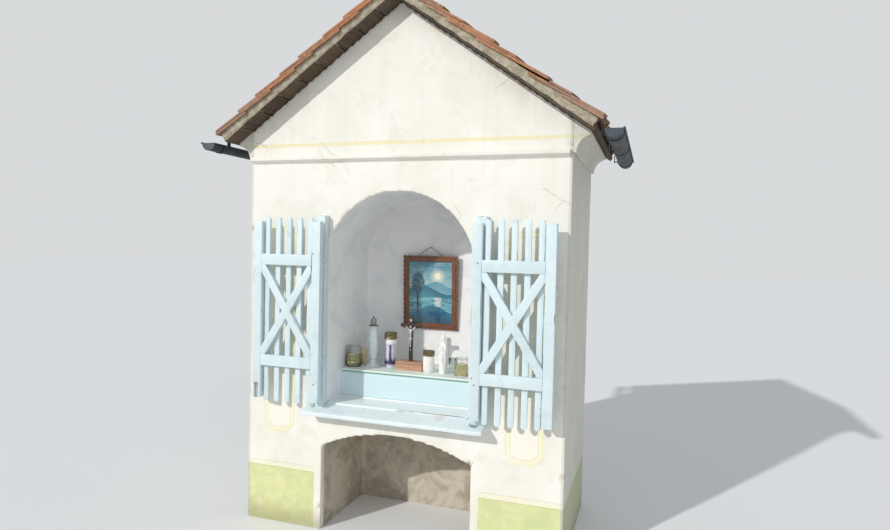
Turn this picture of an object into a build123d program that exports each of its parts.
from build123d import *
import math
import os

# A plastered masonry wayside shrine with a vaulted niche over an arched recess,
# a tiled gable roof, and two slatted timber gates that shut the niche.
# Millimetres. The origin is on the ground at the middle of the footprint.
# +X is to the right of someone facing the shrine, +Y runs into its depth, +Z is up.

os.makedirs("parts", exist_ok=True)

# Masonry body
body_width = 1620
body_depth = 800
back_thickness = 328
wall_top = 1905
corner_radius = 8

# Lower recess, open to the ground in front
recess_width = 770
recess_spring = 418
recess_rise = 92

# Niche
niche_width = 734
niche_floor = 623
niche_spring = 1415
niche_rise = 265

# Altar step at the back of the niche, and its shelf board
step_depth = 331
shelf_thickness = 13
shelf_top = 785
shelf_nosing = 6
shelf_corner = 24
board_clearance = 0.3

# Sill board: a flat tongue in the niche, a lower nose that slopes outside it
sill_thickness = 18
sill_projection = 92
sill_step = 8
sill_fall = 26
sill_width = 920
sill_corner = 12

# Cornices
course_drop = 90
course_height = 36
course_projection = 26
eaves_drop = 67
eaves_projection = 78
eaves_fillet = 14

# Roof
roof_pitch = 35.4
roof_seat = 79
eaves_overhang = 148
verge_overhang = 120
tile_layer = 40
tile_step = 13
tile_courses = 8
board_layer = 34
gable_thickness = 250
ridge_radius = 92
ridge_lift = 12
ridge_count = 4
ridge_taper = 1.6

# Eaves gutters
gutter_radius = 38
gutter_sheet = 2
gutter_setback = 27
gutter_drop = 22
bead_radius = 5
board_gap = 18
bracket_width = 25
bracket_sheet = 3
bracket_count = 3
bracket_margin = 90

# Fixed posts that carry the gates
post_setback = 10.5
post_width = 54
post_depth = 40
post_excess = 32

# Gates, hung a little to the right of the niche's middle
gate_shift = 16
gate_clearance = 11
gate_height = 876
gate_edge_gap = 1.5
meeting_gap = 6
stile_width = 46
stile_depth = 34
rail_height = 54
rail_depth = 20
rail_inset = 188
brace_width = 38
picket_count = 5
picket_width = 27
picket_gap = 7
picket_excess = 19

# Gate hinges
barrel_radius = 5.5
barrel_gap = 0.5
pin_radius = 2.6
pin_clearance = 0.08
leaf_thickness = 2
leaf_width = 30
hinge_height = 72
knuckle_gap = 0.5

# Gate hook
hook_rise = 68
hook_length = 68
hook_wire = 2.4
hook_bend = 7
eye_radius = 2.4
eye_reach = 11

# Picture
picture_width = 312
picture_height = 400
picture_x = 11
picture_rise = 186
frame_face = 34
frame_depth = 20
frame_wave = 1.2
wave_length = 26
panel_depth = 6
picture_lean = 3
nail_rise = 43
nail_radius = 2
string_radius = 1.5
string_spread = 71

# Cross in its wooden block
block_width = 146
block_depth = 64
block_height = 45
cross_height = 233
cross_bar = 113
cross_bar_height = 183
cross_width = 19.5
cross_thickness = 12
figure_height = 113

# Lamps, statue, candle and jars
lamp_height = 261
lamp_radius = 48
statue_height = 200
tall_lantern_radius = 32
tall_lantern_height = 181
tall_lid_height = 33
low_lantern_radius = 29
low_lantern_height = 109
low_lid_height = 24
candle_radius = 18
candle_height = 82
left_jar_radius = 41
left_jar_height = 108
right_jar_radius = 35
right_jar_height = 90
votive_radius = 19
votive_height = 76
glass_wall = 3

# Derived places
front_y = -body_depth / 2
back_y = body_depth / 2
niche_back = back_y - back_thickness
niche_deep = niche_back - front_y
half_body = body_width / 2
half_recess = recess_width / 2
half_niche = niche_width / 2
sill_top = niche_floor + sill_thickness
slope = math.tan(math.radians(roof_pitch))
cosine = math.cos(math.radians(roof_pitch))
sine = math.sin(math.radians(roof_pitch))
tile_drop = tile_layer / cosine
roof_drop = (tile_layer + board_layer) / cosine
ridge_line = wall_top + roof_seat + half_body * slope + roof_drop
roof_run = half_body + eaves_overhang
slope_run = (roof_run - tile_layer * sine) / cosine
gutter_x = roof_run + gutter_setback
board_run = gutter_x - gutter_radius - board_gap
roof_front = front_y - verge_overhang
roof_length = body_depth + 2 * verge_overhang
post_in = gate_shift + half_niche + post_setback
leaf_gap = 2 * (barrel_radius + barrel_gap - leaf_thickness)
hinge_x = post_in - gate_edge_gap
hinge_y = front_y - post_depth - leaf_thickness - leaf_gap / 2
gate_left = hinge_x + gate_edge_gap
gate_width = hinge_x - gate_shift - gate_edge_gap - meeting_gap / 2
gate_back = hinge_y - leaf_gap / 2 - leaf_thickness
gate_front = gate_back - stile_depth
gate_bottom = sill_top + gate_clearance
post_top = gate_bottom + gate_height + post_excess
low_rail = gate_bottom + rail_inset
high_rail = gate_bottom + gate_height - rail_inset
meeting_plane = Plane.YZ.offset(gate_shift)


def facade(y):
    """The upright plane that lies across the shrine at depth y, seen from the front."""
    return Plane.XZ.offset(-y)


def profile(x):
    """The upright plane that cuts the shrine from front to back at x."""
    return Plane.YZ.offset(x)


def roof_under(x):
    """Height of the roof boards' underside at a distance x from the ridge."""
    return ridge_line - roof_drop - abs(x) * slope


def roof_top(x):
    """Height of the tiles' upper line at a distance x from the ridge."""
    return ridge_line - abs(x) * slope


def sill_height(y):
    """Height of the sill nose's upper face at depth y, in front of the wall."""
    return sill_top - sill_step - sill_fall * (front_y - y) / sill_projection


# Piers: the whole side walls, stepped in a little above the niche floor
with BuildPart() as right_pier:
    with BuildSketch(facade(front_y)):
        with BuildLine():
            Polyline(
                (half_recess, 0),
                (half_body, 0),
                (half_body, wall_top),
                (half_niche, wall_top),
                (half_niche, niche_floor),
                (half_recess, niche_floor),
                close=True,
            )
        make_face()
    extrude(amount=-body_depth)
    fillet(right_pier.edges().filter_by(Axis.Z).group_by(Axis.X)[-1], corner_radius)
right_pier.part.label = "right_pier"
export_step(right_pier.part, "parts/right_pier.step")

with BuildPart() as left_pier:
    mirror(objects=right_pier.part, about=Plane.YZ)
left_pier.part.label = "left_pier"
export_step(left_pier.part, "parts/left_pier.step")

# Back wall, between the piers
with BuildPart() as back_wall:
    with BuildSketch(facade(niche_back)):
        with Locations((0, niche_floor / 2)):
            Rectangle(recess_width, niche_floor)
        with Locations((0, (niche_floor + wall_top) / 2)):
            Rectangle(niche_width, wall_top - niche_floor)
    extrude(amount=-back_thickness)
back_wall.part.label = "back_wall"
export_step(back_wall.part, "parts/back_wall.step")

# Segmental arch over the lower recess, with the niche floor on it
with BuildPart() as lower_arch:
    with BuildSketch(facade(front_y)):
        with BuildLine():
            ThreePointArc(
                (-half_recess, recess_spring),
                (0, recess_spring + recess_rise),
                (half_recess, recess_spring),
            )
            Polyline(
                (half_recess, recess_spring),
                (half_recess, niche_floor),
                (-half_recess, niche_floor),
                (-half_recess, recess_spring),
            )
        make_face()
    extrude(amount=-niche_deep)
lower_arch.part.label = "lower_arch"
export_step(lower_arch.part, "parts/lower_arch.step")

# Barrel vault over the niche
with BuildPart() as niche_vault:
    with BuildSketch(facade(front_y)):
        with BuildLine():
            ThreePointArc(
                (-half_niche, niche_spring),
                (0, niche_spring + niche_rise),
                (half_niche, niche_spring),
            )
            Polyline(
                (half_niche, niche_spring),
                (half_niche, wall_top),
                (-half_niche, wall_top),
                (-half_niche, niche_spring),
            )
        make_face()
    extrude(amount=-niche_deep)
niche_vault.part.label = "niche_vault"
export_step(niche_vault.part, "parts/niche_vault.step")

# Gables, up to the underside of the roof boards
with BuildPart() as front_gable:
    with BuildSketch(facade(front_y)):
        with BuildLine():
            Polyline(
                (-half_body, wall_top),
                (half_body, wall_top),
                (half_body, roof_under(half_body)),
                (0, roof_under(0)),
                (-half_body, roof_under(half_body)),
                close=True,
            )
        make_face()
    extrude(amount=-gable_thickness)
front_gable.part.label = "front_gable"
export_step(front_gable.part, "parts/front_gable.step")

with BuildPart() as back_gable:
    mirror(objects=front_gable.part, about=Plane.XZ)
back_gable.part.label = "back_gable"
export_step(back_gable.part, "parts/back_gable.step")

# Moulded string course across the front
with BuildPart() as front_cornice:
    with BuildSketch(profile(corner_radius - half_body)):
        with BuildLine():
            nose = front_y - course_projection
            low = wall_top - course_drop
            Polyline(
                (front_y, low),
                (front_y, low + course_height),
                (nose, low + course_height),
                (nose, low + course_height / 2),
            )
            RadiusArc((nose, low + course_height / 2), (front_y, low), course_height)
        make_face()
    extrude(amount=body_width - 2 * corner_radius)
    fillet(front_cornice.edges().group_by(Axis.Y)[0].sort_by(Axis.Z)[-1], 5)
front_cornice.part.label = "front_cornice"
export_step(front_cornice.part, "parts/front_cornice.step")

# Hollow-moulded eaves cornices along the sides, their tops cut to the roof slope
with BuildPart() as eaves_cornices:
    with BuildSketch(facade(front_y)):
        with BuildLine():
            lip = half_body + eaves_projection
            eaves_bottom = wall_top - eaves_drop
            Polyline(
                (half_body, eaves_bottom),
                (half_body, roof_under(half_body)),
                (lip, roof_under(lip)),
                (lip, roof_under(lip) - eaves_fillet),
            )
            RadiusArc(
                (lip, roof_under(lip) - eaves_fillet),
                (half_body + eaves_fillet, eaves_bottom),
                -eaves_projection,
            )
            Line((half_body + eaves_fillet, eaves_bottom), (half_body, eaves_bottom))
        make_face()
    extrude(amount=-body_depth)
    mirror(about=Plane.YZ)
eaves_cornices.part.label = "eaves_cornices"
export_step(eaves_cornices.part, "parts/eaves_cornices.step")

# Altar step across the back of the niche
with BuildPart() as altar_step:
    with BuildSketch(facade(niche_back - step_depth)):
        with Locations((0, (niche_floor + shelf_top - shelf_thickness) / 2)):
            Rectangle(niche_width, shelf_top - shelf_thickness - niche_floor)
    extrude(amount=-step_depth)
altar_step.part.label = "altar_step"
export_step(altar_step.part, "parts/altar_step.step")

# Shelf board on the step, its front corners rounded off
with BuildPart() as shelf_board:
    with BuildSketch(Plane.XY.offset(shelf_top - shelf_thickness)):
        with Locations((0, niche_back - (step_depth + shelf_nosing) / 2)):
            Rectangle(niche_width - 2 * board_clearance, step_depth + shelf_nosing)
    extrude(amount=shelf_thickness)
    fillet(shelf_board.edges().filter_by(Axis.Z).group_by(Axis.Y)[0], shelf_corner)
    fillet(shelf_board.faces().sort_by(Axis.Y)[0].edges().filter_by(Axis.X), 3)
shelf_board.part.label = "shelf_board"
export_step(shelf_board.part, "parts/shelf_board.step")

# Sill board: a flat tongue inside the niche and a sloping nose with horns outside
with BuildPart() as sill_board:
    with BuildSketch(profile(-sill_width / 2)):
        with BuildLine():
            nose = front_y - sill_projection
            Polyline(
                (front_y, niche_floor - sill_step),
                (front_y, sill_top - sill_step),
                (nose, sill_height(nose)),
                (nose, sill_height(nose) - sill_thickness),
                close=True,
            )
        make_face()
    extrude(amount=sill_width)
    fillet(sill_board.edges().group_by(Axis.Y)[0].filter_by(Axis.X).sort_by(Axis.Z)[-1], 5)
    fillet(sill_board.edges().group_by(Axis.Y)[0].filter_by(Axis.Z), sill_corner)
    with BuildSketch(Plane.XY.offset(niche_floor)):
        with Locations((0, (front_y + niche_back - step_depth) / 2)):
            Rectangle(niche_width - 2 * board_clearance, niche_deep - step_depth)
    extrude(amount=sill_thickness)
sill_board.part.label = "sill_board"
export_step(sill_board.part, "parts/sill_board.step")

# Fixed posts, standing on the sill against the wall
with BuildPart() as right_post:
    with BuildSketch(profile(post_in)):
        with BuildLine():
            Polyline(
                (front_y, sill_top - sill_step),
                (front_y, post_top),
                (front_y - post_depth, post_top),
                (front_y - post_depth, sill_height(front_y - post_depth)),
                close=True,
            )
        make_face()
    extrude(amount=post_width)
    chamfer(right_post.edges().filter_by(Axis.Z).group_by(Axis.Y)[0].sort_by(Axis.X)[-1], 3)
right_post.part.label = "right_post"
export_step(right_post.part, "parts/right_post.step")

with BuildPart() as left_post:
    mirror(objects=right_post.part, about=meeting_plane)
left_post.part.label = "left_post"
export_step(left_post.part, "parts/left_post.step")

# Gate stiles
with BuildPart() as right_gate_stiles:
    with BuildSketch(Plane.XY.offset(gate_bottom)):
        for x in (gate_left + stile_width / 2, gate_left + gate_width - stile_width / 2):
            with Locations((x, (gate_front + gate_back) / 2)):
                Rectangle(stile_width, stile_depth)
    extrude(amount=gate_height)
    chamfer(right_gate_stiles.edges().filter_by(Axis.Z).group_by(Axis.Y)[0], 2)
right_gate_stiles.part.label = "right_gate_stiles"
export_step(right_gate_stiles.part, "parts/right_gate_stiles.step")

with BuildPart() as left_gate_stiles:
    mirror(objects=right_gate_stiles.part, about=meeting_plane)
left_gate_stiles.part.label = "left_gate_stiles"
export_step(left_gate_stiles.part, "parts/left_gate_stiles.step")

# Gate rails, tenoned between the stiles
gate_middle = gate_left + gate_width / 2
panel_width = gate_width - 2 * stile_width
panel_height = high_rail - low_rail - rail_height
picket_pitch = (panel_width - 2 * picket_gap - picket_width) / (picket_count - 1)
with BuildPart() as right_gate_rails:
    with BuildSketch(facade(gate_front)):
        for z in (low_rail, high_rail):
            with Locations((gate_middle, z)):
                Rectangle(panel_width, rail_height)
    extrude(amount=-rail_depth)
right_gate_rails.part.label = "right_gate_rails"
export_step(right_gate_rails.part, "parts/right_gate_rails.step")

with BuildPart() as left_gate_rails:
    mirror(objects=right_gate_rails.part, about=meeting_plane)
left_gate_rails.part.label = "left_gate_rails"
export_step(left_gate_rails.part, "parts/left_gate_rails.step")

# Crossed braces, cut to the panel between the rails and halved into each other
brace_angle = math.degrees(math.atan2(panel_height, panel_width))
brace_centre = (gate_middle, (low_rail + high_rail) / 2)


def brace_band(angle):
    """One brace's face in the panel, in the sketch that is being made."""
    with Locations(brace_centre):
        Rectangle(2 * panel_height, brace_width, rotation=angle)
        Rectangle(panel_width, panel_height, mode=Mode.INTERSECT)


def brace(angle, lap_front):
    """One brace, notched to half its depth where it crosses the other one."""
    with BuildPart(mode=Mode.PRIVATE) as solid:
        with BuildSketch(facade(gate_front)):
            brace_band(angle)
        extrude(amount=-rail_depth)
        with BuildSketch(facade(gate_front if lap_front else gate_front + rail_depth / 2)):
            brace_band(angle)
            with Locations(brace_centre):
                Rectangle(2 * panel_height, brace_width, rotation=-angle, mode=Mode.INTERSECT)
        extrude(amount=-rail_depth / 2, mode=Mode.SUBTRACT)
    return solid.part


with BuildPart() as right_gate_braces:
    add([brace(brace_angle, False), brace(-brace_angle, True)])
right_gate_braces.part.label = "right_gate_braces"
export_step(right_gate_braces.part, "parts/right_gate_braces.step")

with BuildPart() as left_gate_braces:
    mirror(objects=right_gate_braces.part, about=meeting_plane)
left_gate_braces.part.label = "left_gate_braces"
export_step(left_gate_braces.part, "parts/left_gate_braces.step")

# Pickets with rounded ends, fixed to the outer side of the rails
with BuildPart() as right_gate_pickets:
    with BuildSketch(facade(gate_front + rail_depth)):
        with Locations((gate_middle, (low_rail + high_rail) / 2)):
            with GridLocations(picket_pitch, 0, picket_count, 1):
                SlotOverall(gate_height + 2 * picket_excess, picket_width, rotation=90)
    extrude(amount=-(stile_depth - rail_depth))
right_gate_pickets.part.label = "right_gate_pickets"
export_step(right_gate_pickets.part, "parts/right_gate_pickets.step")

with BuildPart() as left_gate_pickets:
    mirror(objects=right_gate_pickets.part, about=meeting_plane)
left_gate_pickets.part.label = "left_gate_pickets"
export_step(left_gate_pickets.part, "parts/left_gate_pickets.step")

# Butt hinges: two knuckles and the pin on the post leaf, one knuckle on the gate leaf
knuckle = (hinge_height - 2 * knuckle_gap) / 3
fixed_levels = [(0, knuckle), (hinge_height - knuckle, hinge_height)]
gate_level = (knuckle + knuckle_gap, hinge_height - knuckle - knuckle_gap)
hinge_bases = [low_rail - hinge_height / 2, high_rail - hinge_height / 2]
leaf_start = hinge_x + barrel_radius + knuckle_gap
reach = leaf_start - hinge_x + 1

with BuildPart() as post_hinges:
    for base in hinge_bases:
        with BuildSketch(Plane.XY.offset(base)):
            with Locations(
                (leaf_start + leaf_width / 2, hinge_y + leaf_gap / 2 + leaf_thickness / 2)
            ):
                Rectangle(leaf_width, leaf_thickness)
        extrude(amount=hinge_height)
        for low, high in fixed_levels:
            with BuildSketch(Plane.XY.offset(base + low)):
                with Locations((hinge_x, hinge_y)):
                    Circle(barrel_radius)
                with Locations(
                    (hinge_x + reach / 2, hinge_y + leaf_gap / 2 + leaf_thickness / 2)
                ):
                    Rectangle(reach, leaf_thickness)
            extrude(amount=high - low)
        with BuildSketch(Plane.XY.offset(base)):
            with Locations((hinge_x, hinge_y)):
                Circle(pin_radius)
        extrude(amount=hinge_height)
    mirror(about=meeting_plane)
post_hinges.part.label = "post_hinges"
export_step(post_hinges.part, "parts/post_hinges.step")

with BuildPart() as right_gate_hinges:
    for base in hinge_bases:
        with BuildSketch(Plane.XY.offset(base)):
            with Locations(
                (leaf_start + leaf_width / 2, hinge_y - leaf_gap / 2 - leaf_thickness / 2)
            ):
                Rectangle(leaf_width, leaf_thickness)
        extrude(amount=hinge_height)
        with BuildSketch(Plane.XY.offset(base + gate_level[0])):
            with Locations((hinge_x, hinge_y)):
                Circle(barrel_radius)
            with Locations((hinge_x + reach / 2, hinge_y - leaf_gap / 2 - leaf_thickness / 2)):
                Rectangle(reach, leaf_thickness)
            with Locations((hinge_x, hinge_y)):
                Circle(pin_radius + pin_clearance, mode=Mode.SUBTRACT)
        extrude(amount=gate_level[1] - gate_level[0])
right_gate_hinges.part.label = "right_gate_hinges"
export_step(right_gate_hinges.part, "parts/right_gate_hinges.step")

with BuildPart() as left_gate_hinges:
    mirror(objects=right_gate_hinges.part, about=meeting_plane)
left_gate_hinges.part.label = "left_gate_hinges"
export_step(left_gate_hinges.part, "parts/left_gate_hinges.step")

# Roof boards on each slope, from the ridge to a plumb cut at the eaves
with BuildPart() as roof_boards:
    with BuildSketch(facade(roof_front)):
        for side in (-1, 1):
            with BuildLine():
                Polyline(
                    (0, roof_under(0)),
                    (side * board_run, roof_under(board_run)),
                    (side * board_run, roof_top(board_run) - tile_drop),
                    (0, ridge_line - tile_drop),
                    close=True,
                )
            make_face()
    extrude(amount=-roof_length)
roof_boards.part.label = "roof_boards"
export_step(roof_boards.part, "parts/roof_boards.step")

# Tile layer of each slope, stepped down course by course
slope_plane = Plane(
    origin=(0, roof_front, ridge_line - tile_drop), x_dir=(cosine, 0, -sine), z_dir=(0, -1, 0)
)
gauge = slope_run / tile_courses
head = tile_layer - tile_step
with BuildPart() as right_tiles:
    with BuildSketch(slope_plane):
        with BuildLine():
            outline = [(0, 0), (slope_run, 0)]
            for course in range(tile_courses, 1, -1):
                outline.append((course * gauge, tile_layer))
                outline.append(((course - 1) * gauge, head))
            outline.append((gauge, tile_layer))
            outline.append((-head * slope, head))
            Polyline(*outline, close=True)
        make_face()
    extrude(amount=-roof_length)
right_tiles.part.label = "right_tiles"
export_step(right_tiles.part, "parts/right_tiles.step")

with BuildPart() as left_tiles:
    mirror(objects=right_tiles.part, about=Plane.YZ)
left_tiles.part.label = "left_tiles"
export_step(left_tiles.part, "parts/left_tiles.step")

# Tapered ridge tiles, each one's wide end over the next, bedded in mortar on the tiles
seat_x = gauge * cosine + tile_layer * sine
seat_z = ridge_line - tile_drop - gauge * sine + tile_layer * cosine
ridge_centre = ridge_line + ridge_lift - ridge_radius
ridge_pitch = roof_length / ridge_count
with BuildPart() as ridge_tiles:
    for number in range(ridge_count):
        with BuildSketch(facade(roof_front + number * ridge_pitch)):
            with Locations((0, ridge_centre)):
                Circle(ridge_radius)
        extrude(amount=-ridge_pitch, taper=ridge_taper)
    with BuildSketch(facade(roof_front)):
        with BuildLine():
            Polyline(
                (0, ridge_line - tile_drop + head / cosine),
                (seat_x, seat_z),
                (seat_x, 0),
                (-seat_x, 0),
                (-seat_x, seat_z),
                close=True,
            )
        make_face()
    extrude(amount=-roof_length, mode=Mode.SUBTRACT)
ridge_tiles.part.label = "ridge_tiles"
export_step(ridge_tiles.part, "parts/ridge_tiles.step")

# Half-round sheet gutters with a rolled bead and stop ends, hung in strap brackets
tile_corner = slope_run * cosine
gutter_z = roof_top(tile_corner) - tile_drop - gutter_drop
with BuildPart() as gutters:
    with BuildSketch(facade(roof_front)):
        with Locations((gutter_x, gutter_z)):
            Circle(gutter_radius)
            Circle(gutter_radius - gutter_sheet, mode=Mode.SUBTRACT)
        with Locations((gutter_x, gutter_z + gutter_radius)):
            Rectangle(3 * gutter_radius, 2 * gutter_radius, mode=Mode.SUBTRACT)
        with Locations((gutter_x + gutter_radius + bead_radius - gutter_sheet, gutter_z)):
            Circle(bead_radius)
    extrude(amount=-roof_length)
    for end in (roof_front, roof_front + roof_length - gutter_sheet):
        with BuildSketch(facade(end)):
            with Locations((gutter_x, gutter_z)):
                Circle(gutter_radius)
            with Locations((gutter_x, gutter_z + gutter_radius)):
                Rectangle(3 * gutter_radius, 2 * gutter_radius, mode=Mode.SUBTRACT)
        extrude(amount=-gutter_sheet)
    mirror(about=Plane.YZ)
gutters.part.label = "gutters"
export_step(gutters.part, "parts/gutters.step")

bracket_pitch = (roof_length - 2 * bracket_margin) / (bracket_count - 1)
with BuildPart() as gutter_brackets:
    for number in range(bracket_count):
        start = roof_front + bracket_margin + number * bracket_pitch - bracket_width / 2
        with BuildSketch(facade(start)):
            with Locations((gutter_x, gutter_z)):
                Circle(gutter_radius + bracket_sheet)
                Circle(gutter_radius, mode=Mode.SUBTRACT)
            with Locations((gutter_x, gutter_z + gutter_radius - bead_radius - 1)):
                Rectangle(3 * gutter_radius, 2 * gutter_radius, mode=Mode.SUBTRACT)
            shank = gutter_z - 2 * bead_radius
            plate_top = roof_top(board_run + bracket_sheet) - tile_drop - board_clearance
            plate_low = roof_under(board_run)
            with Locations((board_run + bracket_sheet / 2, (plate_top + plate_low) / 2)):
                Rectangle(bracket_sheet, plate_top - plate_low)
            arm = gutter_x - gutter_radius - board_run
            with Locations((board_run + arm / 2, shank)):
                Rectangle(arm, bracket_sheet)
        extrude(amount=-bracket_width)
    mirror(about=Plane.YZ)
gutter_brackets.part.label = "gutter_brackets"
export_step(gutter_brackets.part, "parts/gutter_brackets.step")

# Picture frame with wavy outer edges, leaning out from the niche's back wall
lean = math.radians(picture_lean)
picture_base = shelf_top + picture_rise
picture_plane = Plane(
    origin=(picture_x, niche_back - board_clearance, picture_base),
    x_dir=(1, 0, 0),
    z_dir=(0, -math.cos(lean), -math.sin(lean)),
)
inner_width = picture_width - 2 * frame_face
inner_height = picture_height - 2 * frame_face


def wavy_side(start, end):
    """A run of shallow arcs from one corner to the next, by turns out and in."""
    start, end = Vector(*start), Vector(*end)
    waves = 2 * round((end - start).length / wave_length) + 1
    across = Vector(end.Y - start.Y, start.X - end.X).normalized() * frame_wave
    for number in range(waves):
        a = start + (end - start) * (number / waves)
        b = start + (end - start) * ((number + 1) / waves)
        swell = across if number % 2 == 0 else across * -1
        ThreePointArc(a, (a + b) * 0.5 + swell, b)


edge_x = picture_width / 2 - frame_wave
edge_low = frame_wave
edge_high = picture_height - frame_wave
with BuildPart() as picture_frame:
    with BuildSketch(picture_plane):
        with BuildLine():
            wavy_side((-edge_x, edge_low), (edge_x, edge_low))
            wavy_side((edge_x, edge_low), (edge_x, edge_high))
            wavy_side((edge_x, edge_high), (-edge_x, edge_high))
            wavy_side((-edge_x, edge_high), (-edge_x, edge_low))
        make_face()
        with Locations((0, picture_height / 2)):
            Rectangle(inner_width, inner_height, mode=Mode.SUBTRACT)
    extrude(amount=frame_depth * 0.7)
    with BuildSketch(picture_plane.offset(frame_depth * 0.7)):
        with Locations((0, picture_height / 2)):
            Rectangle(picture_width - frame_face * 0.6, picture_height - frame_face * 0.6)
            Rectangle(inner_width, inner_height, mode=Mode.SUBTRACT)
    extrude(amount=frame_depth * 0.3, taper=35)
picture_frame.part.label = "picture_frame"
export_step(picture_frame.part, "parts/picture_frame.step")

with BuildPart() as picture_panel:
    with BuildSketch(picture_plane.offset(frame_depth / 3)):
        with Locations((0, picture_height / 2)):
            Rectangle(inner_width, inner_height)
    extrude(amount=panel_depth)
picture_panel.part.label = "picture_panel"
export_step(picture_panel.part, "parts/picture_panel.step")

# Nail in the wall and the picture string over it
string_foot = picture_plane.from_local_coords((0, picture_height, frame_depth / 3))
nail_y = string_foot.Y
nail_height = string_foot.Z + nail_rise
with BuildPart() as picture_string:
    with BuildSketch(facade(nail_y - 4)):
        with Locations((picture_x, nail_height)):
            Circle(nail_radius)
    extrude(amount=-(niche_back - nail_y + 4))
    for side in (-1, 1):
        foot = Vector(picture_x + side * string_spread, nail_y, string_foot.Z + string_radius)
        run = Vector(picture_x, nail_y, nail_height) - foot
        with BuildSketch(Plane(origin=foot, z_dir=run)):
            Circle(string_radius)
        extrude(amount=run.length)
picture_string.part.label = "picture_string"
export_step(picture_string.part, "parts/picture_string.step")

# Where things stand on the shelf: across, and in from the shelf's front edge
shelf_front = niche_back - step_depth
block_at = (-0.046 * half_niche, 109)
lamp_at = (-0.646 * half_niche, 126)
tall_lantern_at = (-0.398 * half_niche, 146)
candle_at = (-0.825 * half_niche, 153)
left_jar_at = (-0.883 * half_niche, 75)
low_lantern_at = (block_at[0] + block_width / 2 + 3 + low_lantern_radius, 91)
statue_at = (0.452 * half_niche, 83)
votive_at = (0.567 * half_niche, 114)
right_jar_at = (0.733 * half_niche, 66)


def shelf_plane(at, height=0):
    """The level plane at a place on the shelf, some way above its board."""
    return Plane(origin=(at[0], shelf_front + at[1], shelf_top + height))


def turned(plane, *points, smooth=None):
    """A solid turned about the plane's upright axis from a (radius, height) outline."""
    upright = Plane(origin=plane.origin, x_dir=(1, 0, 0), z_dir=(0, -1, 0))
    with BuildPart(mode=Mode.PRIVATE) as solid:
        with BuildSketch(upright):
            with BuildLine():
                if smooth:
                    Spline(*smooth)
                    points = (smooth[-1], *points, smooth[0])
                Polyline(*points, close=not smooth)
            make_face()
        revolve(axis=Axis(plane.origin, (0, 0, 1)))
    return solid.part


# Wooden block with a bevelled top
with BuildPart() as cross_block:
    with BuildSketch(shelf_plane(block_at)):
        RectangleRounded(block_width, block_depth, 4)
    extrude(amount=block_height)
    chamfer(cross_block.faces().sort_by(Axis.Z)[-1].edges(), 4)
cross_block.part.label = "cross_block"
export_step(cross_block.part, "parts/cross_block.step")

# Cross with bevelled arrises and a small rosette near its top
block_plane = shelf_plane(block_at, block_height)
cross_front = block_plane.origin.Y - cross_thickness / 2
foot_z = block_plane.origin.Z
with BuildPart() as cross:
    with BuildSketch(facade(cross_front)):
        with Locations((block_at[0], foot_z + cross_height / 2)):
            Rectangle(cross_width, cross_height)
        with Locations((block_at[0], foot_z + cross_bar_height)):
            Rectangle(cross_bar, cross_width)
    extrude(amount=-cross_thickness)
    chamfer(cross.faces().sort_by(Axis.Y)[0].edges(), 1.5)
    with BuildSketch(facade(cross_front)):
        with Locations((block_at[0], foot_z + cross_height - 1.2 * cross_width)):
            Circle(0.32 * cross_width)
    extrude(amount=2, taper=20)
cross.part.label = "cross"
export_step(cross.part, "parts/cross.step")

# Small cast figure on the cross, arms raised to the bar
unit = figure_height / 116
figure_plane = Plane(
    origin=(block_at[0], cross_front, foot_z + cross_bar_height + 4 * unit - figure_height)
)


def figure_point(x, y, z):
    """A point on the figure from its feet, y being out from the cross."""
    return figure_plane.origin + Vector(x, -y, z) * unit


def limb(start, end, thick, thin):
    """A tapered round limb between two points."""
    run = end - start
    with BuildPart(mode=Mode.PRIVATE) as solid:
        with BuildSketch(Plane(origin=start, z_dir=run)):
            Circle(thick)
        with BuildSketch(Plane(origin=end, z_dir=run)):
            Circle(thin)
        loft()
    return solid.part


with BuildPart() as cross_figure:
    for x, y, z, wide, deep in (
        (0, 5.4, 44, 6.6, 4.2),
        (0, 5.6, 58, 6.0, 4.2),
        (0, 5.8, 74, 7.8, 4.4),
        (0, 5.8, 90, 8.6, 4.2),
        (0, 6.0, 97, 4.2, 3.2),
    ):
        with BuildSketch(Plane(origin=figure_point(x, y, z))):
            Ellipse(wide * unit, deep * unit)
    loft(ruled=True)
    for z, wide in ((43, 7.8), (57, 6.8)):
        with BuildSketch(Plane(origin=figure_point(0, 5.4, z))):
            Ellipse(wide * unit, 4.8 * unit)
    loft(ruled=True)
    for side in (-1, 1):
        knee = figure_point(side * 2.6, 6.4, 27)
        elbow = figure_point(side * 15, 4.4, 97)
        add(limb(figure_point(side * 3, 4.6, 46), knee, 3.8 * unit, 2.7 * unit))
        add(limb(knee, figure_point(side * 1.8, 3.4, 4), 2.7 * unit, 1.8 * unit))
        add(limb(figure_point(side * 7, 5.2, 90), elbow, 3 * unit, 2.3 * unit))
        add(limb(elbow, figure_point(side * 25, 2.6, 106), 2.3 * unit, 1.7 * unit))
        for x, y, z, radius in ((15, 4.4, 97, 2.3), (26, 2.6, 107, 2.5), (2.6, 6.4, 27, 2.8)):
            with Locations(figure_point(side * x, y, z)):
                Sphere(radius * unit)
    add(limb(figure_point(0, 3.5, 1), figure_point(0, 5.8, 7), 3.3 * unit, 3 * unit))
    add(limb(figure_point(0, 6, 95), figure_point(1, 7.6, 104), 3 * unit, 3 * unit))
    with Locations(figure_point(1.2, 8.0, 105)):
        Sphere(6.4 * unit)
cross_figure.part.label = "cross_figure"
export_step(cross_figure.part, "parts/cross_figure.step")

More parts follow.
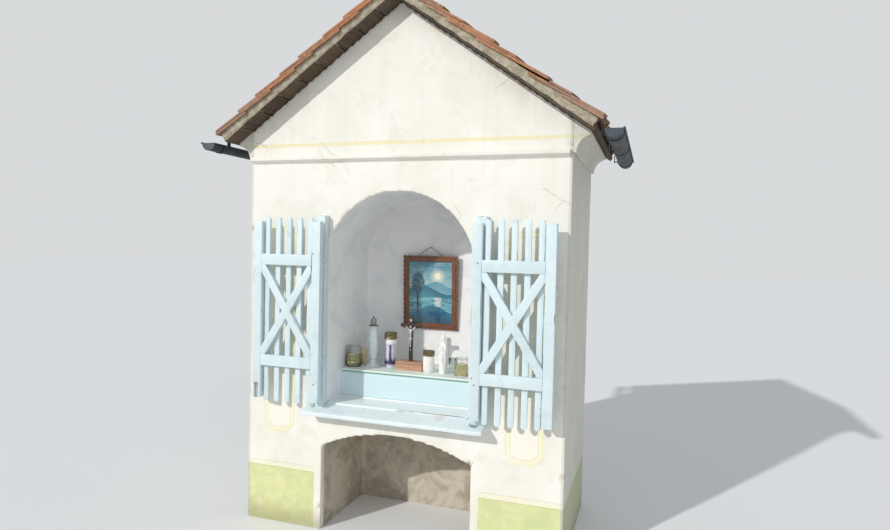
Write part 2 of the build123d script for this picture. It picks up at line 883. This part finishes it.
# Tall lamp: scalloped foot, tapering frosted glass, flat brim and a crown of prongs
h, r = lamp_height, lamp_radius
with BuildPart() as tall_lamp:
    base = shelf_plane(lamp_at)
    with BuildSketch(base):
        Circle(0.80 * r)
        with PolarLocations(0.76 * r, 10):
            Circle(0.24 * r)
    extrude(amount=0.035 * h, taper=12)
    add(
        turned(
            base,
            (0.72 * r, 0),
            (0.72 * r, 0.05 * h),
            (0.50 * r, 0.11 * h),
            (0.40 * r, 0.12 * h),
            (0.46 * r, 0.145 * h),
            (0.44 * r, 0.165 * h),
            (0, 0.165 * h),
            (0, 0),
        )
    )
    glass = [(0.44 * r, 0.16 * h), (0.54 * r, 0.42 * h), (0.50 * r, 0.62 * h), (0.33 * r, 0.81 * h)]
    add(turned(base, (0, 0.81 * h), (0, 0.16 * h), smooth=glass))
    with BuildSketch(base.offset(0.81 * h)):
        Circle(0.60 * r)
    extrude(amount=0.014 * h)
    with BuildSketch(base.offset(0.824 * h)):
        Circle(0.30 * r)
        Circle(0.24 * r, mode=Mode.SUBTRACT)
        with PolarLocations(0.28 * r, 8):
            Circle(0.07 * r)
    extrude(amount=0.11 * h)
    with BuildSketch(base.offset(0.824 * h)):
        Circle(0.26 * r)
    extrude(amount=0.10 * h)
    with Locations(base.offset(0.94 * h).origin):
        Sphere(0.20 * r)
    with BuildSketch(base.offset(0.955 * h)):
        Circle(0.07 * r)
    extrude(amount=0.045 * h, taper=8)
tall_lamp.part.label = "tall_lamp"
export_step(tall_lamp.part, "parts/tall_lamp.step")

# White statuette: robe, open mantle drawn up into a veil, joined hands
k = statue_height / 206
statue_base = shelf_plane(statue_at)
statue_foot = statue_base.origin


def drapery(*sections):
    """A tapering elliptical form through (height, half width, half depth) sections."""
    with BuildPart(mode=Mode.PRIVATE) as solid:
        for height, wide, deep in sections:
            with BuildSketch(statue_base.offset(height * k)):
                Ellipse(wide * k, deep * k)
        loft(ruled=True)
    return solid.part


with BuildPart() as mantle:
    add(
        drapery(
            (6, 16, 14),
            (30, 19, 16),
            (70, 22, 18),
            (112, 25, 20),
            (135, 24, 19),
            (150, 19, 16.5),
            (163, 13.5, 13.5),
            (176, 11.8, 12.5),
            (188, 11.4, 12),
            (197, 8.5, 9),
            (203, 3.5, 4),
        )
    )
    with BuildSketch(facade(statue_foot.Y - 30 * k)):
        with Locations((statue_foot.X, statue_foot.Z + 6 * k)):
            Trapezoid(22 * k, 260 * k, 88, align=(Align.CENTER, Align.MIN))
            Rectangle(26 * k, 118 * k, align=(Align.CENTER, Align.MIN), mode=Mode.INTERSECT)
        with Locations((statue_foot.X, statue_foot.Z + 124 * k)):
            Trapezoid(21 * k, 40 * k, 84, align=(Align.CENTER, Align.MIN))
        with Locations((statue_foot.X, statue_foot.Z + 180 * k)):
            Ellipse(7.4 * k, 11 * k)
    extrude(amount=-26 * k, mode=Mode.SUBTRACT)

with BuildPart() as statue:
    add(mantle.part)
    with BuildSketch(statue_base):
        Circle(20 * k)
    extrude(amount=9 * k, taper=12)
    add(
        drapery(
            (6, 15, 13),
            (40, 15, 13),
            (90, 16.5, 14),
            (118, 17, 14.5),
            (142, 14.5, 12.5),
            (160, 9, 9),
            (168, 4.6, 4.6),
            (180, 4.6, 4.6),
        )
    )
    with Locations(statue_foot + Vector(0, -1, 181) * k):
        Sphere(8.4 * k)
    hands = statue_foot + Vector(0, -17, 132) * k
    for side in (-1, 1):
        elbow = statue_foot + Vector(side * 13.5, -8, 117) * k
        add(limb(elbow, hands, 5.6 * k, 3.6 * k))
    with BuildSketch(Plane(origin=hands - Vector(0, 0, 3) * k)):
        Ellipse(2.7 * k, 3.8 * k)
    extrude(amount=18 * k, taper=5)
statue.part.label = "statue"
export_step(statue.part, "parts/statue.step")


def lantern_body(at, radius, height):
    """A straight lantern body on a narrower foot, with a shoulder under its lid."""
    return turned(
        shelf_plane(at),
        (0, 0),
        (0.84 * radius, 0),
        (0.84 * radius, 0.05 * height),
        (radius, 0.09 * height),
        (radius, 0.91 * height),
        (0.90 * radius, height),
        (0, height),
    )


def lantern_lid(at, radius, base, height):
    """A pressed lid with a crimped rim, a stepped dome and a flat knob."""
    plane = shelf_plane(at, base)
    with BuildPart(mode=Mode.PRIVATE) as lid:
        with BuildSketch(plane):
            Circle(radius)
            with PolarLocations(radius, 18):
                Circle(0.07 * radius)
        extrude(amount=0.45 * height)
        with BuildSketch(plane.offset(0.45 * height)):
            Circle(0.96 * radius)
        extrude(amount=0.30 * height, taper=35)
        with BuildSketch(plane.offset(0.75 * height)):
            Circle(0.42 * radius)
        extrude(amount=0.25 * height, taper=10)
    return lid.part


# Two grave lanterns and their lids
tall_rim = tall_lantern_height - tall_lid_height
low_rim = low_lantern_height - low_lid_height
with BuildPart() as lanterns:
    add(lantern_body(tall_lantern_at, tall_lantern_radius, tall_rim))
    add(lantern_body(low_lantern_at, low_lantern_radius, low_rim))
lanterns.part.label = "lanterns"
export_step(lanterns.part, "parts/lanterns.step")

with BuildPart() as lantern_lids:
    add(lantern_lid(tall_lantern_at, tall_lantern_radius, tall_rim, tall_lid_height))
    add(lantern_lid(low_lantern_at, low_lantern_radius, low_rim, low_lid_height))
lantern_lids.part.label = "lantern_lids"
export_step(lantern_lids.part, "parts/lantern_lids.step")

# Pillar candle with a burnt hollow and a wick
with BuildPart() as candle:
    with BuildSketch(shelf_plane(candle_at)):
        Circle(candle_radius)
    extrude(amount=candle_height)
    fillet(candle.faces().sort_by(Axis.Z)[-1].edges(), 2)
    with BuildSketch(shelf_plane(candle_at, candle_height)):
        Circle(0.6 * candle_radius)
    extrude(amount=-5, taper=30, mode=Mode.SUBTRACT)
    with BuildSketch(shelf_plane(candle_at, candle_height - 5)):
        Circle(1)
    extrude(amount=9)
candle.part.label = "candle"
export_step(candle.part, "parts/candle.step")


def jar(at, radius, height):
    """An open glass jar with a neck and a thick foot."""
    r, h, t = radius, height, glass_wall
    neck = 0.88 * r
    return turned(
        shelf_plane(at),
        (0, 0),
        (0.9 * r, 0),
        (r, 0.07 * h),
        (r, 0.80 * h),
        (neck, 0.88 * h),
        (neck, h),
        (neck - t, h),
        (neck - t, 0.87 * h),
        (r - t, 0.78 * h),
        (r - t, 0.1 * h),
        (0.9 * r - t, 2 * t),
        (0, 2 * t),
    )


# Two glass jars
with BuildPart() as jars:
    add(jar(left_jar_at, left_jar_radius, left_jar_height))
    add(jar(right_jar_at, right_jar_radius, right_jar_height))
jars.part.label = "jars"
export_step(jars.part, "parts/jars.step")

# Small straight glass
with BuildPart() as votive_glass:
    with BuildSketch(shelf_plane(votive_at)):
        Circle(0.86 * votive_radius)
    extrude(amount=votive_height, taper=-2.2)
    with BuildSketch(shelf_plane(votive_at, 2 * glass_wall)):
        Circle(0.86 * votive_radius - glass_wall / 2)
    extrude(amount=votive_height, taper=-2.2, mode=Mode.SUBTRACT)
votive_glass.part.label = "votive_glass"
export_step(votive_glass.part, "parts/votive_glass.step")

# Screw eye and bent hook on the left gate's meeting stile
eye_x = 2 * gate_shift - (gate_left + gate_width - stile_width / 2)
eye_z = gate_bottom + hook_rise
bend = hook_bend - hook_wire
with BuildPart() as gate_hook:
    with BuildSketch(facade(gate_front)):
        with Locations((eye_x, eye_z)):
            Circle(eye_radius)
    extrude(amount=eye_reach)
    with BuildSketch(facade(gate_front - eye_reach + 2 * hook_wire)):
        with BuildLine():
            foot = eye_z + hook_bend - hook_length
            CenterArc((eye_x, eye_z), bend, 270, 300)
            Line((eye_x, eye_z - bend), (eye_x, foot))
            CenterArc((eye_x + bend, foot), bend, 180, 150)
        trace(line_width=2 * hook_wire)
        with Locations((eye_x, eye_z)):
            Circle(hook_bend)
    extrude(amount=2 * hook_wire)
gate_hook.part.label = "gate_hook"
export_step(gate_hook.part, "parts/gate_hook.step")
